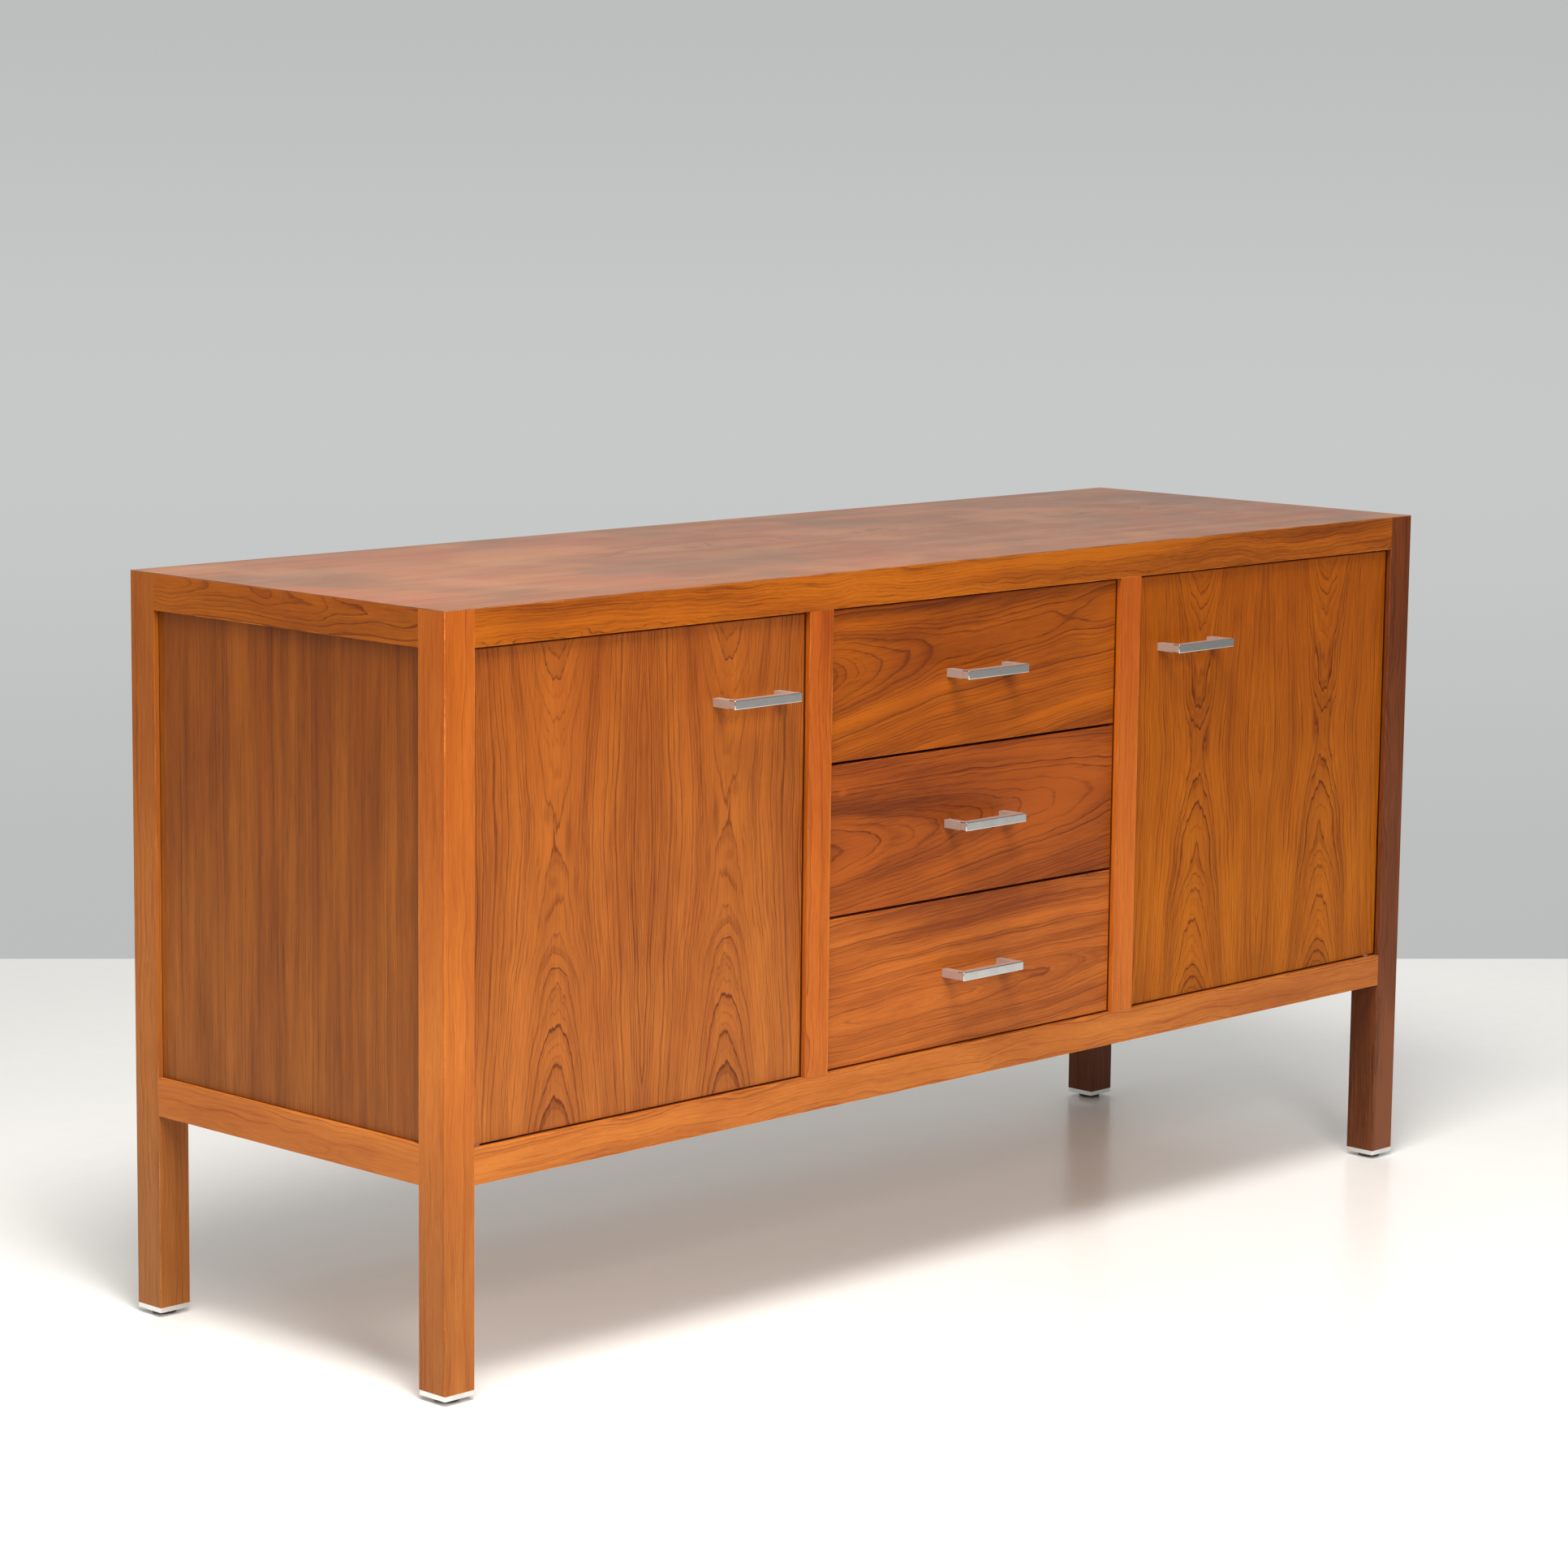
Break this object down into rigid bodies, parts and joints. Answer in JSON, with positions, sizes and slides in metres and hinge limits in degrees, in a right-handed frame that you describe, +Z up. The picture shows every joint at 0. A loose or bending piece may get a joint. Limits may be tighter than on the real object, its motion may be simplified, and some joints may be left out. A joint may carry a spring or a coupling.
{
  "type": "sideboard buffet",
  "caption": "Low wooden sideboard on square legs, with hinged doors at both ends, a stack of drawers in the middle and square-bar metal pulls.",
  "frame": {"origin": "on the floor, in the middle of the footprint of the whole object, pulls included", "axes": "+X along the width, to the right as seen from the front; the front faces -Y; +Z up"},
  "size_m": [1.524, 0.506, 0.775],
  "materials": {
    "post_wood": "oiled solid wood, satin, straight grain",
    "rail_wood": "oiled solid wood, satin, grain along the rail",
    "panel_veneer": "oiled veneer, satin, straight ribbon grain",
    "top_veneer": "oiled veneer, satin, lightly worn",
    "door_veneer": "oiled bookmatched veneer, satin, upright cathedral grain",
    "drawer_veneer": "oiled veneer, satin, level cathedral grain",
    "inner_veneer": "plain matt veneer",
    "drawer_box_wood": "planed pale hardwood, matt",
    "runner_wood": "planed pale hardwood, waxed",
    "pull_metal": "polished plating, softly worn",
    "foot_metal": "polished plating, softly worn",
    "steel": "plain zinc-grey steel",
    "catch": "matt dark moulding with a magnet",
    "glide": "matt dark moulding"
  },
  "bodies": {
    "case": {"post_front_left": "post_wood", "post_front_right": "post_wood", "post_back_left": "post_wood", "post_back_right": "post_wood", "rail_front_top": "rail_wood", "rail_front_bottom": "rail_wood", "rail_back_top": "rail_wood", "rail_back_bottom": "rail_wood", "rail_left_top": "rail_wood", "rail_left_bottom": "rail_wood", "rail_right_top": "rail_wood", "rail_right_bottom": "rail_wood", "mullion_left": "post_wood", "mullion_right": "post_wood", "partition_left": "inner_veneer", "partition_right": "inner_veneer", "top_board": "inner_veneer", "top_veneer": "top_veneer", "bottom_panel": "inner_veneer", "side_panel_left": "panel_veneer", "side_panel_right": "panel_veneer", "back_panel": "panel_veneer", "shelf_left": "inner_veneer", "shelf_right": "inner_veneer", "shelf_pins": "steel", "drawer_runners": "runner_wood", "case_screws": "steel", "foot_plates": "foot_metal", "foot_glides": "glide", "hinge_leaves_case": "steel", "hinge_washers": "steel", "door_catches": "catch"},
    "left_door": {"left_door": "door_veneer", "left_door_leaves": "steel", "left_door_screws": "steel", "left_door_pull": "pull_metal", "left_door_strike": "steel"},
    "right_door": {"right_door": "door_veneer", "right_door_leaves": "steel", "right_door_screws": "steel", "right_door_pull": "pull_metal", "right_door_strike": "steel"},
    "upper_drawer": {"upper_drawer_front": "drawer_veneer", "upper_drawer_sides": "drawer_box_wood", "upper_drawer_back": "drawer_box_wood", "upper_drawer_floor": "drawer_box_wood", "upper_drawer_screws": "steel", "upper_drawer_pull": "pull_metal"},
    "middle_drawer": {"middle_drawer_front": "drawer_veneer", "middle_drawer_sides": "drawer_box_wood", "middle_drawer_back": "drawer_box_wood", "middle_drawer_floor": "drawer_box_wood", "middle_drawer_screws": "steel", "middle_drawer_pull": "pull_metal"},
    "lower_drawer": {"lower_drawer_front": "drawer_veneer", "lower_drawer_sides": "drawer_box_wood", "lower_drawer_back": "drawer_box_wood", "lower_drawer_floor": "drawer_box_wood", "lower_drawer_screws": "steel", "lower_drawer_pull": "pull_metal"}
  },
  "joints": [
    {"name": "left_door_hinge", "type": "hinge", "parent": "case", "child": "left_door", "pos_m": [-0.712, -0.215, 0.25], "axis": [0, 0, -1], "range_deg": [0, 95]},
    {"name": "right_door_hinge", "type": "hinge", "parent": "case", "child": "right_door", "pos_m": [0.712, -0.215, 0.25], "axis": [0, 0, 1], "range_deg": [0, 95]},
    {"name": "upper_drawer_slide", "type": "slide", "parent": "case", "child": "upper_drawer", "axis": [0, -1, 0], "range_m": [0, 0.3]},
    {"name": "middle_drawer_slide", "type": "slide", "parent": "case", "child": "middle_drawer", "axis": [0, -1, 0], "range_m": [0, 0.3]},
    {"name": "lower_drawer_slide", "type": "slide", "parent": "case", "child": "lower_drawer", "axis": [0, -1, 0], "range_m": [0, 0.3]}
  ]
}
